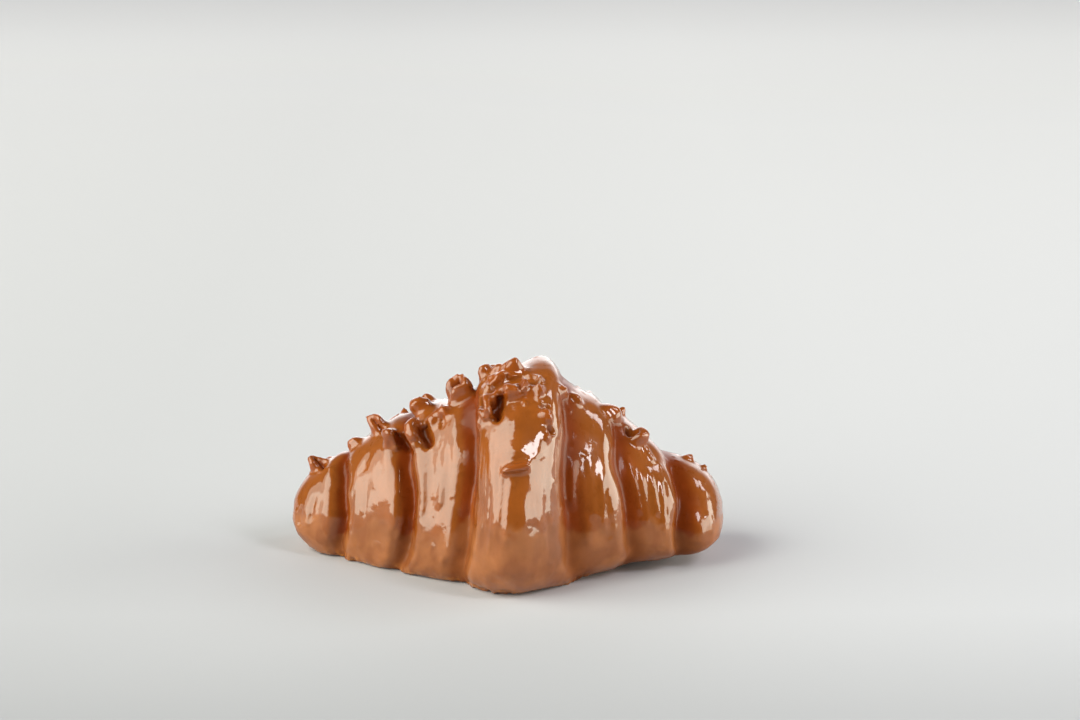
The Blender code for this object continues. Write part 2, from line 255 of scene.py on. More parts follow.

# Runs of chocolate down the sides: where one starts along the ridge in mm and where it ends, the angles of
# its upper and lower end in degrees, its half width and its height in mm. A height below zero is a furrow.
Run = namedtuple("Run", "start end top low width height")
RUNS = (
    Run(-72.8, -73.2, 28, -4, 0.8, 0.35),
    Run(-70.8, -71.0, 34, 2, 0.8, -0.30),
    Run(-68.6, -68.9, 26, 6, 0.9, 0.30),
    Run(-65.8, -66.4, 38, 12, 0.8, -0.40),
    Run(-62.5, -62.9, 30, 2, 1.2, 0.25),
    Run(-54.0, -53.6, 40, 4, 0.7, 0.35),
    Run(-52.6, -52.4, 36, 0, 0.6, -0.30),
    Run(-47.0, -50.4, 60, 40, 1.3, -0.30),
    Run(-39.6, -39.0, 46, 2, 1.0, 0.40),
    Run(-37.6, -37.8, 20, -3, 0.9, 0.35),
    Run(-31.5, -32.0, 56, 6, 1.2, 0.25),
    Run(-27.2, -29.4, 62, 8, 1.9, -0.60),
    Run(-21.5, -24.8, 54, 14, 1.2, 0.35),
    Run(-9.9, -9.7, 50, -6, 0.9, 0.35),
    Run(-8.1, -8.0, 42, 0, 0.6, 0.45),
    Run(-6.9, -7.0, 46, 6, 0.6, 0.50),
    Run(-5.7, -5.6, 44, -3, 0.6, 0.55),
    Run(-4.3, -4.4, 40, 3, 0.6, 0.50),
    Run(-2.9, -3.0, 36, 8, 0.6, 0.55),
    Run(-1.2, -1.3, 38, 1, 0.9, 0.60),
    Run(1.0, 0.2, 63, 33, 2.6, 0.95),
    Run(4.2, 5.0, 24, 4, 1.6, -0.35),
    Run(5.8, 6.6, 50, 29, 2.4, 0.50),
    Run(7.4, 7.2, 24, -4, 0.9, 0.35),
    Run(10.6, 10.4, 44, 4, 0.8, 0.30),
    Run(16.6, 16.9, 40, 12, 0.9, 0.40),
    Run(18.8, 19.0, 36, -4, 0.9, 0.35),
    Run(21.0, 21.2, 42, 8, 1.0, 0.35),
    Run(23.0, 23.2, 34, 2, 0.8, 0.40),
    Run(31.6, 32.6, 50, 12, 0.8, 0.40),
    Run(34.6, 35.0, 44, 6, 1.2, 0.35),
    Run(38.2, 38.6, 46, 14, 0.9, 0.40),
    Run(41.2, 41.4, 44, 4, 0.7, 0.35),
    Run(53.5, 54.0, 34, -1, 2.6, 0.40),
    Run(58.2, 58.6, 30, 6, 1.0, 0.30),
)
RUN_SWAY = (0.35, 5.0)  # mm that a run sways aside, and how many times a radian
RUN_ENDS = (9.0, 5.0)  # degrees over which a run rises at its top and at its foot
RUN_BEAD = 0.45  # how much higher a run is at its foot
RUN_BEAD_FROM = (0.6, 0.95)  # shares of its length between which that sets in
RUN_PAST = 0.2  # how far past its ends a run keeps its slant, as a share of its length
MORE_RUNS = 100  # the other runs, drawn at random all round
MORE_RUN_SLANT = (-1.0, 1.0)  # mm along the ridge from start to end
MORE_RUN_TOP = (62.0, 12.0)  # degrees, as are the next two
MORE_RUN_LENGTH = (14.0, 46.0)
MORE_RUN_LOW = -12.0
MORE_RUN_WIDTH = (0.5, 1.6)  # mm
MORE_RUN_HEIGHT = (-0.12, 0.20)
FRONT_SHARE = 0.6  # share of them on the front
SMOOTH_FRONT = (1.5, 9.0)  # mm along the ridge between which the front has none of them

# Swells of the whole coat: the size of a swell and how far it stands out, in mm.
SWELLS = ((16.0, 0.34), (7.0, 0.28), (3.2, 0.03))
SKIRT_SWELLS = ((9.0, 0.36), (4.0, 0.22), (1.9, 0.07))  # the skirt has these as well
CREASE_SHADE_FROM = (1.2, 3.8)  # mm of groove over which the painted shade of a crease, a deeper brown, sets in
# Where the gloss runs out: mm along the ridge and degrees round the roll.
SKIRT_EDGES = (
    (-76.5, 16), (-64, 17), (-60, -6), (-54, 0), (-49, 7), (-42, 10), (-36, 2), (-24, 4), (-18, 8),
    (-6, 9), (8, 7), (17, 4), (22, 9), (30, 4), (37, 13), (46, 10), (52, 4), (58, 17), (69, 21),
)
SKIRT_RAGS = 8.0  # degrees by which that edge strays
SKIRT_RAG_SIZES = ((9.0, 0.6), (3.0, 0.4))  # sizes in mm of the strays and their shares
SKIRT_FADE = 1.4  # degrees to either side over which it fades
PIMPLE_SWELLS = ((2.6, 1.0),)  # small bumps stand all over, where these swells are high
PIMPLE_FROM = (0.42, 0.70)
PIMPLE = 0.18  # mm that they stand out
FOOT_FROM = (0.4, 4.0)  # mm up from the table over which the foot ends
FOOT_SWELLS = ((5.0, 0.7), (1.7, 1.0))
CRUMB_SWELLS = ((17.0, 1.0),)  # the foot is crumbly where these swells are high
CRUMBS_FROM = (-0.15, 0.35)


def column(rows, name):
    """One measure of every row, in metres."""
    return np.array([getattr(row, name) for row in rows]) * MM


def through(x, places, values):
    """A smooth curve through the values at the given places."""
    slopes = np.gradient(values, places)
    low = np.clip(np.searchsorted(places, x) - 1, 0, len(places) - 2)
    step = places[low + 1] - places[low]
    t = (x - places[low]) / step
    return (
        (2 * t**3 - 3 * t**2 + 1) * values[low]
        + (t**3 - 2 * t**2 + t) * step * slopes[low]
        + (3 * t**2 - 2 * t**3) * values[low + 1]
        + (t**3 - t**2) * step * slopes[low + 1]
    )


def ramp(x, start, end):
    """From 0 at start to 1 at end, with soft ends."""
    t = np.clip((x - start) / (end - start), 0, 1)
    return t * t * (3 - 2 * t)


def spine(along):
    """How far the roll's middle swings back, and its slope."""
    bend = np.where(along < 0, BEND_LEFT, BEND_RIGHT)
    run = np.sqrt(along**2 + BEND_RADIUS**2)
    return bend * (run - BEND_RADIUS), bend * along / run


def groove(along, around):
    """How far the skin dips under the bands' edges: a round lip on the inner side, a slope on the outer."""
    dip = np.zeros_like(along)
    for number, edge in enumerate(EDGES[1:-1]):
        waver = sum(
            width * MM * np.sin(waves * around + number * phase)
            for width, waves, phase in WAVERS
        )
        out = math.copysign(1, edge.ridge) * (along - edge.ridge * MM - waver)
        lip = np.clip(1 + out / (edge.lip * MM), 0, 1)
        inner = np.where(out <= 0, 1 - np.sqrt(1 - lip**2), 0)
        fall = np.clip(out / (edge.slope * MM), 0, 1)
        outer = np.where(out > 0, 1 - fall * (1 + edge.crown * (1 - fall)), 0)
        dip = np.maximum(dip, edge.groove * MM * (inner + outer))
    return dip


def cap(along):
    """Shrinks the sections to nothing towards each tip."""
    left = (EDGES[0].ridge * MM + LEFT_CAP - along) / LEFT_CAP
    right = (along - EDGES[-1].ridge * MM + RIGHT_CAP) / RIGHT_CAP
    t = np.clip(np.where(along < 0, left, right), 0, 1)
    return np.sqrt(np.clip(1 - t**CAP_POWER, 0, 1))


def skin(along, around):
    """Points of the dough's skin, for places along the ridge and angles round the roll."""
    places = column(SECTIONS, "along")
    height, front, back, underside = (
        through(along, places, column(SECTIONS, name))
        for name in ("height", "front", "back", "underside")
    )
    cos, sin = np.cos(around), np.sin(around)
    widest = WIDEST_AT * height
    reach = np.where(cos > 0, front, back)
    power = 2 / np.where(sin > 0, UPPER_POWER, LOWER_POWER)
    rise = np.where(sin > 0, height - widest, widest - underside)
    out = reach * np.sign(cos) * np.abs(cos) ** power
    up = rise * np.sign(sin) * np.abs(sin) ** power

    kept = 1 - TOP_FILL * ramp(sin, *TOP_FILL_FROM)
    kept = kept * (1 - BASE_FILL * ramp(-sin, *BASE_FILL_FROM))
    inset = 1 - groove(along, around) * kept / np.hypot(out, up)
    level = np.where(along < 0, LEFT_CAP_LEVEL, RIGHT_CAP_LEVEL) * height
    out = out * inset * cap(along)
    up = level + (widest + up * inset - level) * cap(along)

    ridges = column(EDGES, "ridge")
    mid = through(along, ridges, column(EDGES, "lean_mid"))
    base = through(along, ridges, column(EDGES, "lean_base"))
    share = np.clip(up / height, 0, 1)
    lean = mid * 4 * share * (1 - share) + base * (1 - share) * (1 - 2 * share)
    lean = lean * np.sqrt(np.clip(np.abs(out) / reach, 0, 1))

    set_back, slope = spine(along)
    turn = np.where(cos > 0, FRONT_FAN, BACK_FAN) * np.arctan(slope)
    return np.stack(
        [
            along + lean + out * np.sin(turn),
            set_back - out * np.cos(turn),
            np.maximum(up, 0),
        ],
        axis=-1,
    )


def ring_places(per_band):
    """Places of the rings along the ridge, closer together at the bands' edges."""
    share = 0.5 - 0.5 * np.cos(np.linspace(0, np.pi, per_band + 1))
    ridges = column(EDGES, "ridge")
    inside = [a + (b - a) * share[:-1] for a, b in zip(ridges[:-1], ridges[1:])]
    return np.append(np.concatenate(inside), ridges[-1])


def resting_frame(nut):
    """Where a nut piece lies: its centre, with axes along its length, its width and out of the skin."""
    along = nut.along * MM + PROBE * np.array([0, 1, -1, 0, 0])
    around = math.radians(nut.around) + PROBE_ANGLE * np.array([0, 0, 0, 1, -1])
    spot, right, left, over, under = (Vector(point) for point in skin(along, around))
    ahead = (right - left).normalized()
    outward = ahead.cross(over - under).normalized()
    ahead.rotate(Matrix.Rotation(math.radians(nut.turn), 3, outward))
    aside = outward.cross(ahead).normalized()
    ahead = aside.cross(outward)
    centre = spot + outward * nut.height * MM * (0.5 - NUT_SUNK)
    placed = Matrix((ahead, aside, outward)).transposed().to_4x4()
    placed.translation = centre
    return placed


def nut_points(nut, draw):
    """A chopped piece's corners: a block's, each pulled in a little, its top drawn in by the piece's peak."""
    half = Vector((nut.length, nut.width, nut.height)) * MM / 2
    points = []
    for corner in product((-1, 1), repeat=3):
        x, y, z = (side * (1 - draw.uniform(0, NUT_PULL)) for side in corner)
        narrow = 1 - nut.peak if z > 0 else 1
        points.append(Vector((x * narrow * half.x, y * narrow * half.y, z * half.z)))
    for _ in range(NUT_FACETS):
        angle = draw.uniform(0, 2 * math.pi)
        level = draw.uniform(*NUT_EGG_LEVELS)
        width = math.sqrt(1 - level**2) * (1 - nut.peak * max(level, 0))
        egg = Vector((math.cos(angle) * width, math.sin(angle) * width, level))
        points.append(Vector(a * b for a, b in zip(egg, half)) * NUT_EGG)
    tip = Matrix.Rotation(draw.uniform(-NUT_TILT, NUT_TILT), 3, "X")
    tip @= Matrix.Rotation(draw.uniform(-NUT_TILT, NUT_TILT), 3, "Y")
    return [tip @ point for point in points]


def scattered_nuts(draw):
    """More pieces over the ridge and the back, the largest first, none on top of another."""
    placed = [(nut, resting_frame(nut).translation) for nut in MAIN_NUTS]
    added = []
    for step in range(MORE_NUTS):
        size = MORE_LARGEST + (MORE_SMALLEST - MORE_LARGEST) * step / (MORE_NUTS - 1)
        for _ in range(TRIES):
            nut = Nut(
                draw.uniform(*MORE_ALONG),
                draw.uniform(*MORE_AROUND),
                size,
                size * draw.uniform(*MORE_WIDTH),
                size * draw.uniform(*MORE_HEIGHT),
                draw.uniform(0, 180),
                draw.uniform(*MORE_PEAK),
            )
            if BARE_TOP[0] < nut.along < BARE_TOP[1]:
                continue
            spot = resting_frame(nut).translation
            if all(
                (spot - other).length > MORE_SPACING * (size + piece.length) * MM / 2
                for piece, other in placed
            ):
                placed.append((nut, spot))
                added.append(nut)
                break
    return added


# ---- The fine mesh ----


def add_dough(bm):
    """A sphere whose rings are moved onto the roll's sections.

    Returns the places and angles of its points, and the points.
    """
    rings = ring_places(RINGS_PER_BAND)
    rows = len(rings) - 1
    bmesh.ops.create_uvsphere(bm, u_segments=POINTS_AROUND, v_segments=rows, radius=1)
    corners = np.array([corner.co for corner in bm.verts])
    row = np.rint(np.arccos(np.clip(corners[:, 2], -1, 1)) / np.pi * rows).astype(int)
    along, around = rings[row], np.arctan2(corners[:, 1], corners[:, 0])
    points = skin(along, around)
    for corner, point in zip(bm.verts, points):
        corner.co = point
    return along, around, points


def add_nut(bm, nut, draw):
    """A chopped piece: facets spanned over its corners."""
    placed = resting_frame(nut)
    piece = bmesh.new()
    for point in nut_points(nut, draw):
        piece.verts.new(placed @ point)
    hull = bmesh.ops.convex_hull(piece, input=piece.verts)
    bmesh.ops.delete(piece, geom=hull["geom_interior"], context="VERTS")
    mesh = bpy.data.meshes.new("nut")
    piece.to_mesh(mesh)
    piece.free()
    bm.from_mesh(mesh)
    bpy.data.meshes.remove(mesh)


def one_skin(bm):
    """The pieces in bm as one even mesh without what lies inside it."""
    bmesh.ops.recalc_face_normals(bm, faces=bm.faces)
    mesh = bpy.data.meshes.new("croissant_coat")
    bm.to_mesh(mesh)
    bm.free()
    obj = bpy.data.objects.new("croissant_coat", mesh)
    bpy.context.scene.collection.objects.link(obj)
    remesh = obj.modifiers.new("skin", "REMESH")
    remesh.mode = "VOXEL"
    remesh.voxel_size = VOXEL
    remesh.use_smooth_shade = True
    graph = bpy.context.evaluated_depsgraph_get()
    obj.data = bpy.data.meshes.new_from_object(obj.evaluated_get(graph))
    obj.modifiers.clear()
    bpy.data.meshes.remove(mesh)
    return obj


def points_of(mesh):
    """The mesh's points, one to a row."""
    points = np.empty(len(mesh.vertices) * 3, np.float32)
    mesh.vertices.foreach_get("co", points)
    return points.reshape(-1, 3).astype(float)


def normals_of(mesh):
    """Which way is out at each point."""
    normals = np.empty(len(mesh.vertices) * 3, np.float32)
    mesh.vertex_normals.foreach_get("vector", normals)
    return normals.reshape(-1, 3).astype(float)


def move_to(mesh, points):
    """Moves the mesh's points to new places."""
    mesh.vertices.foreach_set("co", points.astype(np.float32).ravel())
    mesh.update()


class Web:
    """The mesh's edges, for averages over each point's neighbours."""

    def __init__(self, mesh):
        ends = np.empty(len(mesh.edges) * 2, int)
        mesh.edges.foreach_get("vertices", ends)
        self.a, self.b = ends[::2], ends[1::2]
        self.count = len(mesh.vertices)
        self.degree = np.maximum(np.bincount(ends, minlength=self.count), 1)

    def average(self, values):
        """The mean of the neighbours' values."""
        if values.ndim > 1:
            return np.stack([self.average(v) for v in values.T], axis=1)
        total = np.bincount(self.a, values[self.b], self.count)
        total += np.bincount(self.b, values[self.a], self.count)
        return total / self.degree

    def smooth(self, values, steps):
        """Takes every value halfway to that mean, a number of times."""
        for _ in range(steps):
            values = (values + self.average(values)) / 2
        return values


def pour(points, mesh, web, rounds, where=1.0):
    """Smooths as a liquid coat would: hollows fill, and edges that stand out are only rounded."""
    for steps, fill, wear in rounds:
        move_to(mesh, points)
        normals = normals_of(mesh)
        rise = np.sum((web.smooth(points, steps) - points) * normals, axis=1)
        rise = web.smooth(np.where(rise > 0, fill, wear) * rise, 1)
        points = points + normals * (rise * where)[:, None]
    return points


def places_of(points, web, along, around, skin_points):
    """Each point's place along the ridge and angle round the roll, and how far it stands off the dough."""
    tree = KDTree(len(skin_points))
    for number, spot in enumerate(skin_points):
        tree.insert(spot, number)
    tree.balance()
    found = [tree.find(point) for point in points]
    near = np.array([hit[1] for hit in found])
    stands = np.array([hit[2] for hit in found])
    turned = np.stack([np.cos(around[near]), np.sin(around[near])], axis=1)
    turned = web.smooth(turned, EVEN_STEPS)
    return (
        web.smooth(along[near], EVEN_STEPS),
        np.arctan2(turned[:, 1], turned[:, 0]),
        stands,
    )


def trail_height(trail, spots):
    """How far one fold stands out, for points of the dough's skin."""
    path = skin(*(np.array(values) for values in trail_places(trail)))
    near = np.full(len(spots), np.inf)
    for start, end in zip(path[:-1], path[1:]):
        ahead = end - start
        share = np.clip((spots - start) @ ahead / (ahead @ ahead), 0, 1)
        near = np.minimum(near, np.linalg.norm(spots - start - share[:, None] * ahead, axis=1))
    return trail.height * MM * np.exp(-((near / (trail.width * MM)) ** 2))


def trail_places(trail):
    """The places in metres and the angles in radians that a fold passes through."""
    along, around = zip(*trail.places)
    return [place * MM for place in along], [math.radians(angle) for angle in around]


def swell(points, sizes):
    """A smooth random height at every point, from swells of several sizes."""
    height = np.zeros(len(points))
    for size, rise in sizes:
        spots = points / (size * MM)
        height += rise * MM * np.array([noise.noise(Vector(spot)) for spot in spots])
    return height


def more_runs(draw):
    """Runs drawn at random, over the front and the back alike."""
    added = []
    for _ in range(MORE_RUNS):
        start = draw.uniform(EDGES[0].ridge, EDGES[-1].ridge)
        top = draw.uniform(*MORE_RUN_TOP)
        low = max(top - draw.uniform(*MORE_RUN_LENGTH), MORE_RUN_LOW)
        run = Run(
            start,
            start + draw.uniform(*MORE_RUN_SLANT),
            top,
            low,
            draw.uniform(*MORE_RUN_WIDTH),
            draw.uniform(*MORE_RUN_HEIGHT),
        )
        front = draw.random() < FRONT_SHARE
        if not (front and SMOOTH_FRONT[0] < start < SMOOTH_FRONT[1]):
            added.append((run, front))
    return added


def run_height(run, front, along, around):
    """How far one run of chocolate stands out at every point."""
    angle = np.degrees(around)
    angle = angle if front else 180 - np.where(angle < -90, angle + 360, angle)
    share = np.clip((run.top - angle) / (run.top - run.low), -RUN_PAST, 1 + RUN_PAST)
    sway, waves = RUN_SWAY
    middle = run.start + (run.end - run.start) * share
    middle = middle + sway * np.sin(waves * around + run.start)
    aside = np.exp(-(((along / MM - middle) / run.width) ** 2))
    rise, drop = RUN_ENDS
    ends = ramp(run.top - angle, 0, rise) * ramp(angle - run.low, 0, drop)
    bead = 1 + RUN_BEAD * ramp(share, *RUN_BEAD_FROM)
    return run.height * MM * aside * ends * bead


def skirt_look(points, along, around):
    """Where the gloss has run out: 0 on the glossy coat, 1 low down, with a ragged edge between."""
    edge = np.interp(along / MM, *zip(*SKIRT_EDGES)) + SKIRT_RAGS * sum(
        share * np.array([noise.noise(Vector(spot)) for spot in points / (size * MM)])
        for size, share in SKIRT_RAG_SIZES
    )
    angle = np.degrees(around)
    angle = np.where(angle > 90, 180 - angle, np.where(angle < -90, -180 - angle, angle))
    return 1 - ramp(angle, edge - SKIRT_FADE, edge + SKIRT_FADE)


def dress(coat, web, draw, along, around, skin_points):
    """Pours the coat over the joined pieces, with its runs, swells and crumbly foot."""
    mesh = coat.data
    points = web.smooth(points_of(mesh), EVEN_STEPS)
    along, around, stands = places_of(points, web, along, around, skin_points)
    nuts = web.smooth(ramp(stands / MM, *NUT_STANDS), NUT_SPREAD)
    nuts = np.clip(nuts * NUT_GAIN, 0, 1)
    skirt = ramp(-np.degrees(around), -SKIRT_FROM[0], -SKIRT_FROM[1])

    points = pour(points, mesh, web, POURS)
    points = pour(points, mesh, web, NUT_POURS, nuts)
    points = pour(points, mesh, web, [SKIRT_POUR], skirt)
    points = web.smooth(points, 1)
    move_to(mesh, points)
    normals = normals_of(mesh)
    spots = skin(along, around)
    folds = [trail_height(trail, spots) for trail in TRAILS]
    # Painted shade inside the deep hollows of the folds.
    hollow_shade = ramp(-np.min(folds, axis=0) / MM, *HOLLOW_SHADE_FROM)
    points = web.smooth(points + normals * np.sum(folds, axis=0)[:, None], 1)
    move_to(mesh, points)
    normals = normals_of(mesh)

    height = swell(points, SWELLS) + skirt * swell(points, SKIRT_SWELLS)
    height = height + PIMPLE * MM * ramp(swell(points, PIMPLE_SWELLS) / MM, *PIMPLE_FROM) * (1 - nuts)
    foot = 1 - ramp(points[:, 2] / MM, *FOOT_FROM)
    crumbs = ramp(swell(points, CRUMB_SWELLS) / MM, *CRUMBS_FROM)
    height = height + foot * crumbs * swell(points, FOOT_SWELLS)
    for run, front in [*((run, True) for run in RUNS), *more_runs(draw)]:
        height = height + run_height(run, front, along, around) * (1 - nuts)
    points = points + normals * height[:, None]
    points[:, 2] = np.maximum(points[:, 2], 0)
    move_to(mesh, points)
    # Painted shade: the creases and the deep hollows get a darker brown, and less gloss.
    crease_shade = ramp(groove(along, around) / MM, *CREASE_SHADE_FROM) * (1 - nuts)
    crease_shade = np.maximum(crease_shade, hollow_shade)
    shares = {"nuts": nuts, "skirt": skirt_look(points, along, around), "foot": foot, "crease_shade": crease_shade}
    keep_for_material(mesh, web, shares, along, around)


def keep_for_material(mesh, web, shares, along, around):
    """Stores how much of each kind of surface and of painted shade every point has, and the flow: mm along
    and degrees round.
    """
    for name, values in shares.items():
        values = web.smooth(values, 1).astype(np.float32)
        mesh.attributes.new(name, "FLOAT", "POINT").data.foreach_set("value", values)
    flow = np.stack([along / MM, np.degrees(around), np.zeros_like(along)], axis=1).astype(np.float32)
    mesh.attributes.new("flow", "FLOAT_VECTOR", "POINT").data.foreach_set("vector", flow.ravel())


def stand_on_solid(obj):
    """Sets the fine mesh where the solid stands."""
    points = points_of(obj.data)
    low, high = points.min(axis=0), points.max(axis=0)
    cad_low, cad_high = (np.array(corner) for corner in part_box("croissant"))
    shift = (cad_low + cad_high - low - high) / 2
    shift[2] = cad_low[2] - low[2]
    move_to(obj.data, points + shift)


# ---- Materials ----

GLOSSY_BROWN = (0.284, 0.0735, 0.0088)
SKIRT_BROWN = (0.352, 0.119, 0.0370)
# Painted shade of the creases and deep hollows, on the glossy coat and on the skirt.
CREASE_SHADE_BROWN = (0.190, 0.031, 0.0030)
SKIRT_CREASE_SHADE_BROWN = (0.225, 0.064, 0.0170)
MOTTLE_BROWN = (0.255, 0.076, 0.0215)
FOOT_BROWN = (0.430, 0.150, 0.0350)
NUT_BROWN = (0.300, 0.068, 0.0075)
SKIRT_SHARE = 0.94  # how far the skirt's brown takes over from the glossy one

# Random patterns: how many swells each has to a metre, how many finer patterns are added to it, and how
# strong those are.
PATCHES = (90.0, 3.0, 0.5)
CLOUD = (260.0, 4.0, 0.6)
GRAIN = (1600.0, 2.0, 0.5)
PITS = (750.0, 2.0, 0.5)
PITTED = (70.0, 1.0, 0.5)
CRUMBS = (420.0, 2.0, 0.5)
# These two follow the coat's flow: their swells are counted by the mm along it and by the degree round it.
MOTTLE = (1.0, 2.0, 0.5)
STREAKS = (1.0, 3.0, 0.6)
MOTTLE_STRETCH = (0.15, 0.035, 1.0)
STREAK_STRETCH = (0.55, 0.025, 1.0)

# Values of a pattern between which its effect sets in. For a tone or a roughness they are the middle ones.
MIDDLE = (0.3, 0.7)
MOTTLE_FROM = (0.44, 0.60)
CRUMBLY_FROM = (0.45, 0.6)
STREAKY_FROM = (0.42, 0.60)
PITTED_FROM = (0.52, 0.62)

MOTTLE_SHARE = 0.85  # how far the mottle's brown takes over
PATCH_TONES = (0.88, 1.12)  # how dark and how bright the patches and clouds are
CLOUD_TONES = (0.93, 1.07)
SPECULAR = 0.08  # shine of the brown itself, under the clear gloss
ROUGHNESS = (0.30, 0.48)  # on the glossy coat and on the skirt
ROUGHNESS_STRAY = (-0.05, 0.05)
SKIRT_GLOSS = (1.0, 0.6)  # weight of the clear gloss on the glossy coat and on the skirt
CREASE_GLOSS = (1.0, 0.12)  # share of it outside and inside a crease
GLOSS_IOR = 1.59
GLOSS_ROUGHNESS = 0.05

# How far the patterns stand out.
CLOUD_RELIEF = 0.08 * MM
GRAIN_RELIEF = 0.01 * MM
STREAK_RELIEF = 0.07 * MM
PIT_RELIEF = 0.06 * MM
RELIEF_STRENGTH = 0.6

# Painted light on the floor: a darker grey near the front, a brighter one towards the back.
FLOOR_NEAR_GREY = (0.528, 0.525, 0.570)
FLOOR_FAR_GREY = (0.782, 0.769, 0.822)
FLOOR_LIGHT_DEPTH = (-0.3, 1.6)  # metres from front to back between which painted light makes the floor brighter
FRONT_PAINTED_SHADE = (0.82, 1.0)  # painted shade: it is darker towards the front
FRONT_DEPTH = (-0.14, -0.05)
SIDE_PAINTED_SHADE = (0.96, 1.05)  # painted shade: a little darker on the left than on the right
SIDE_WIDTH = (-0.15, 0.15)
FLOOR_ROUGHNESS = 0.8
FLOOR_SPECULAR = 0.1
BACK_GLOW = (0.0, 0.28)  # light that the floor gives off towards the back
BACK_GLOW_DEPTH = (0.0, 1.8)


class Graph:
    """A material's nodes, with short ways to add and join them."""

    def __init__(self, name):
        self.material = bpy.data.materials.new(name)
        self.material.use_nodes = True
        self.nodes = self.material.node_tree.nodes
        self.links = self.material.node_tree.links
        self.surface = self.nodes["Principled BSDF"]

    def put(self, socket, value):
        """Sets a socket to a number or a colour, or links it."""
        if isinstance(value, bpy.types.NodeSocket):
            self.links.new(value, socket)
        elif isinstance(value, tuple) and len(value) == 3 and socket.type == "RGBA":
            socket.default_value = (*value, 1)
        else:
            socket.default_value = value

    def set_surface(self, **values):
        """Gives the surface its values. A name has underscores where the surface's own has spaces."""
        for name, value in values.items():
            self.put(self.surface.inputs[name.replace("_", " ")], value)

    def add(self, kind, inputs=(), **settings):
        """A new node with its settings, and with its inputs set or linked."""
        node = self.nodes.new("ShaderNode" + kind)
        for name, value in settings.items():
            setattr(node, name, value)
        for name, value in dict(inputs).items():
            self.put(node.inputs[name], value)
        return node

    def share(self, name):
        """One of the mesh's own values at every point."""
        return self.add("Attribute", attribute_name=name).outputs["Fac"]

    def position(self):
        """The place of every point, in metres."""
        return self.add("TexCoord").outputs["Object"]

    def noise(self, scale, detail, roughness, place=None):
        """A random pattern with values from 0 to 1."""
        place = place or self.position()
        inputs = {"Vector": place, "Scale": scale, "Detail": detail, "Roughness": roughness}
        return self.add("TexNoise", inputs).outputs["Fac"]

    def stretch(self, place, factors):
        """A place scaled by one factor each way."""
        return self.add("VectorMath", {0: place, 1: factors}, operation="MULTIPLY").outputs[0]

    def rescale(self, value, target, source=(0.0, 1.0)):
        """A value taken from the source range to the target range, and kept within that."""
        names = ("From Min", "From Max", "To Min", "To Max")
        inputs = {"Value": value, **dict(zip(names, (*source, *target)))}
        return self.add("MapRange", inputs).outputs["Result"]

    def onset(self, value, limits):
        """From 0 to 1 as the value goes from one limit to the other."""
        return self.rescale(value, (0.0, 1.0), limits)

    def without(self, value):
        """1 where the value is 0, and 0 where it is 1 or more."""
        return self.rescale(value, (1.0, 0.0))

    def combine(self, operation, values):
        """The values taken together from first to last by one operation."""
        total = values[0]
        for value in values[1:]:
            total = self.add("Math", {0: total, 1: value}, operation=operation).outputs[0]
        return total

    def sum(self, *values):
        """The values added up."""
        return self.combine("ADD", values)

    def times(self, *values):
        """The values multiplied."""
        return self.combine("MULTIPLY", values)

    def blend(self, share, a, b, kind="MIX"):
        """Goes from colour a to colour b as the share goes from 0 to 1."""
        node = self.add("Mix", {"Factor": share}, data_type="RGBA", blend_type=kind)
        colours = [socket for socket in node.inputs if socket.type == "RGBA"]
        self.put(colours[0], a)
        self.put(colours[1], b)
        return next(socket for socket in node.outputs if socket.type == "RGBA")

    def toned(self, colour, tone):
        """A colour made darker or brighter by a factor."""
        grey = self.add("CombineColor", {0: tone, 1: tone, 2: tone}).outputs[0]
        return self.blend(1.0, colour, grey, "MULTIPLY")


def chocolate():
    """Milk chocolate: glossy where it was poured, duller and paler on the skirt, with painted shade in the
    creases and hollows.
    """
    g = Graph("milk_chocolate_coat")
    skirt, crease_shade, nuts = g.share("skirt"), g.share("crease_shade"), g.share("nuts")
    flow = g.add("Attribute", attribute_name="flow").outputs["Vector"]
    patches = g.noise(*PATCHES)
    cloud = g.noise(*CLOUD)

    brown = g.blend(nuts, GLOSSY_BROWN, NUT_BROWN)
    # Painted shade: a darker brown in the creases and deep hollows.
    brown = g.blend(crease_shade, brown, CREASE_SHADE_BROWN)
    dull_brown = g.blend(crease_shade, SKIRT_BROWN, SKIRT_CREASE_SHADE_BROWN)
    brown = g.blend(g.times(skirt, SKIRT_SHARE), brown, dull_brown)
    mottle = g.noise(*MOTTLE, place=g.stretch(flow, MOTTLE_STRETCH))
    mottled = g.times(skirt, g.rescale(mottle, (0.0, MOTTLE_SHARE), MOTTLE_FROM))
    brown = g.blend(mottled, brown, MOTTLE_BROWN)
    crumbly = g.times(g.share("foot"), g.onset(g.noise(*CRUMBS), CRUMBLY_FROM))
    brown = g.blend(crumbly, brown, FOOT_BROWN)
    tone = g.times(g.rescale(patches, PATCH_TONES, MIDDLE), g.rescale(cloud, CLOUD_TONES, MIDDLE))

    streaks = g.noise(*STREAKS, place=g.stretch(flow, STREAK_STRETCH))
    streaky = g.times(g.onset(patches, STREAKY_FROM), g.without(g.sum(skirt, nuts)))
    pitted = g.times(g.onset(g.noise(*PITTED), PITTED_FROM), g.without(nuts))
    relief = g.sum(
        g.times(cloud, CLOUD_RELIEF),
        g.times(g.noise(*GRAIN), GRAIN_RELIEF),
        g.times(streaks, streaky, STREAK_RELIEF),
        g.times(g.noise(*PITS), pitted, PIT_RELIEF),
    )
    bump = g.add("Bump", {"Height": relief, "Distance": 1.0, "Strength": RELIEF_STRENGTH}).outputs["Normal"]
    g.set_surface(
        Base_Color=g.toned(brown, tone),
        Specular_IOR_Level=SPECULAR,
        Roughness=g.sum(g.rescale(skirt, ROUGHNESS), g.rescale(cloud, ROUGHNESS_STRAY, MIDDLE)),
        Coat_Weight=g.times(g.rescale(skirt, SKIRT_GLOSS), g.rescale(crease_shade, CREASE_GLOSS)),
        Coat_IOR=GLOSS_IOR,
        Coat_Roughness=GLOSS_ROUGHNESS,
        Normal=bump,
        Coat_Normal=bump,
    )
    return g.material


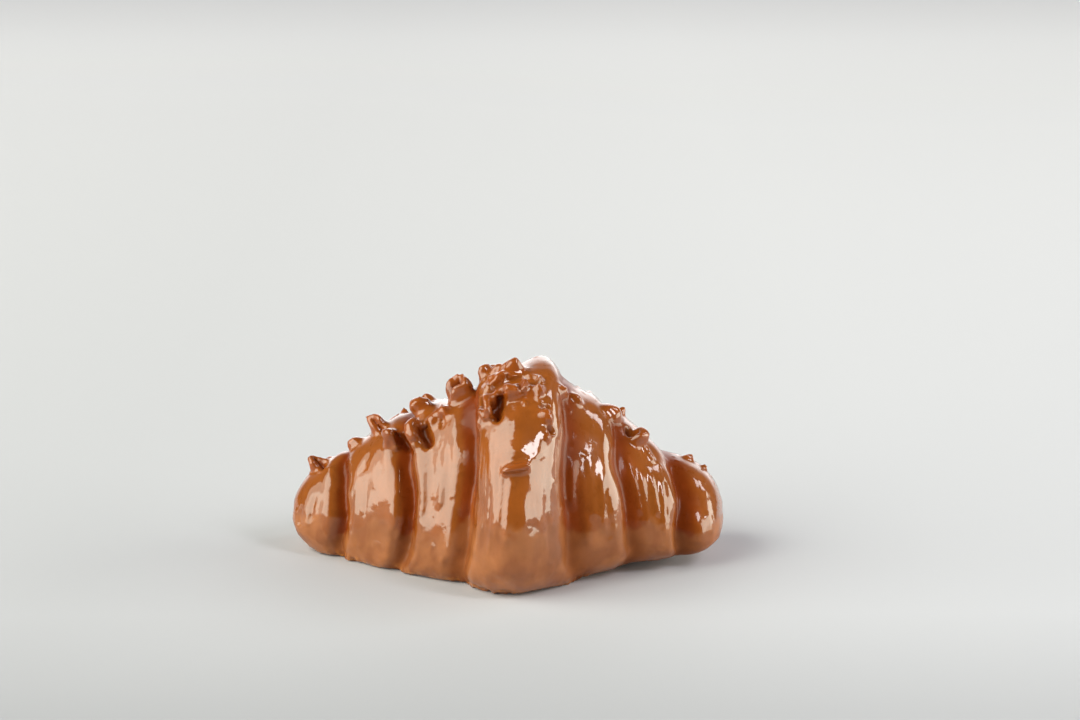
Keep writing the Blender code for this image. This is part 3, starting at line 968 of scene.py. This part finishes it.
def floor_with_painted_light():
    """A pale floor with painted light: brighter and glowing towards the back, with painted shade at the front
    and on the left.
    """
    g = Graph("pale_floor_painted_light")
    split = g.add("SeparateXYZ", {0: g.position()}).outputs
    across, depth = split["X"], split["Y"]
    grey = g.blend(g.onset(depth, FLOOR_LIGHT_DEPTH), FLOOR_NEAR_GREY, FLOOR_FAR_GREY)
    # Painted shade towards the front and on the left.
    tone = g.times(g.rescale(depth, FRONT_PAINTED_SHADE, FRONT_DEPTH), g.rescale(across, SIDE_PAINTED_SHADE, SIDE_WIDTH))
    g.set_surface(
        Base_Color=g.toned(grey, tone),
        Roughness=FLOOR_ROUGHNESS,
        Specular_IOR_Level=FLOOR_SPECULAR,
        Emission_Color=(1.0, 1.0, 1.0),
        Emission_Strength=g.rescale(depth, BACK_GLOW, BACK_GLOW_DEPTH),
    )
    return g.material


# ---- Stage, light and camera ----

FLOOR_SIZE = 12.0
CAMERA_PLACE = (0.00365, -0.8190, 0.2565)
CAMERA_PITCH = math.radians(77.24)
CAMERA_YAW = math.radians(-0.52)
LENS = 85.0  # mm
CLIP_END = 20.0  # metres, past the far edge of the floor
WARM = (0.97, 1.0, 0.86)
COOL = (0.99, 0.99, 1.0)

# The lights: azimuth in degrees from the camera's side towards +X, elevation above the floor, distance,
# width and height in metres, how bright the face looks, and its colour.
Softbox = namedtuple("Softbox", "name azimuth elevation distance width height radiance colour")
SOFTBOXES = (
    Softbox("left_softbox", -69, 29, 2.4, 3.6, 2.9, 2.25, WARM),
    Softbox("far_left_softbox", -67, 28, 2.4, 2.2, 2.9, 2.75, WARM),
    Softbox("right_light", 56, 41, 1.3, 0.26, 0.46, 14.0, COOL),
    Softbox("back_right_light", 118, 40, 1.5, 0.26, 0.36, 6.5, COOL),
    Softbox("right_panel", 88, 13, 2.4, 2.5, 1.2, 5.6, WARM),
)
AIM_HEIGHT = 0.03  # metres above the floor that they face
STUDIO_GLOW = (0.07, 2.3)  # light of the surroundings, in front and at the back
STUDIO_GLOW_FROM = (0.70, 1.0)  # how far back that sets in, where 1 is straight back


def direction(azimuth, elevation):
    """A unit vector: azimuth in degrees from the camera's side towards +X, elevation above the floor."""
    a, e = math.radians(azimuth), math.radians(elevation)
    return Vector((math.sin(a) * math.cos(e), -math.cos(a) * math.cos(e), math.sin(e)))


def add_softbox(box):
    """A rectangular light that faces the croissant. Its power follows from how bright its face looks."""
    data = bpy.data.lights.new(box.name, "AREA")
    data.shape = "RECTANGLE"
    data.size, data.size_y = box.width, box.height
    data.energy = box.radiance * math.pi * box.width * box.height
    data.color = box.colour
    light = bpy.data.objects.new(box.name, data)
    toward = direction(box.azimuth, box.elevation)
    light.location = toward * box.distance + Vector((0, 0, AIM_HEIGHT))
    light.rotation_euler = toward.to_track_quat("Z", "Y").to_euler()
    light.visible_camera = False
    bpy.context.scene.collection.objects.link(light)


def make_stage():
    """A wide flat floor, which isn't part of the croissant."""
    bm = bmesh.new()
    bmesh.ops.create_grid(bm, x_segments=1, y_segments=1, size=FLOOR_SIZE / 2)
    mesh = bpy.data.meshes.new("floor")
    bm.to_mesh(mesh)
    bm.free()
    mesh.materials.append(floor_with_painted_light())
    floor = bpy.data.objects.new("floor", mesh)
    bpy.context.scene.collection.objects.link(floor)
    floor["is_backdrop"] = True


def make_light():
    """The softboxes, and surroundings that are bright at the back."""
    for softbox in SOFTBOXES:
        add_softbox(softbox)
    world = bpy.data.worlds.new("studio")
    bpy.context.scene.world = world
    world.use_nodes = True
    nodes, links = world.node_tree.nodes, world.node_tree.links
    background = nodes["Background"]
    background.inputs["Color"].default_value = (1, 1, 1, 1)
    place = nodes.new("ShaderNodeTexCoord")
    split = nodes.new("ShaderNodeSeparateXYZ")
    links.new(place.outputs["Generated"], split.inputs[0])
    back = nodes.new("ShaderNodeMapRange")
    back.interpolation_type = "SMOOTHSTEP"
    back.inputs["From Min"].default_value, back.inputs["From Max"].default_value = STUDIO_GLOW_FROM
    back.inputs["To Min"].default_value, back.inputs["To Max"].default_value = STUDIO_GLOW
    links.new(split.outputs["Y"], back.inputs["Value"])
    links.new(back.outputs["Result"], background.inputs["Strength"])


def make_camera():
    """The camera, in front of the croissant and a little above it."""
    data = bpy.data.cameras.new("camera")
    data.lens = LENS
    data.clip_end = CLIP_END
    camera = bpy.data.objects.new("camera", data)
    camera.location = CAMERA_PLACE
    camera.rotation_euler = (CAMERA_PITCH, 0, CAMERA_YAW)
    bpy.context.scene.collection.objects.link(camera)
    bpy.context.scene.camera = camera
    bpy.context.scene.view_settings.view_transform = "Standard"


def main():
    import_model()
    cad_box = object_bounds()
    make_stage()
    make_light()
    make_camera()

    draw = random.Random(SEED)
    bm = bmesh.new()
    along, around, skin_points = add_dough(bm)
    for nut in [*MAIN_NUTS, *scattered_nuts(draw)]:
        add_nut(bm, nut, draw)
    coat = one_skin(bm)
    web = Web(coat.data)
    dress(coat, web, draw, along, around, skin_points)
    stand_on_solid(coat)
    coat.data.materials.clear()
    coat.data.materials.append(chocolate())
    coat.data.shade_smooth()
    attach(coat, "root")
    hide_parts("croissant")

    boxes = {"cad": cad_box, "visual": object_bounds()}
    boxes = {name: [list(corner) for corner in box] for name, box in boxes.items()}


main()
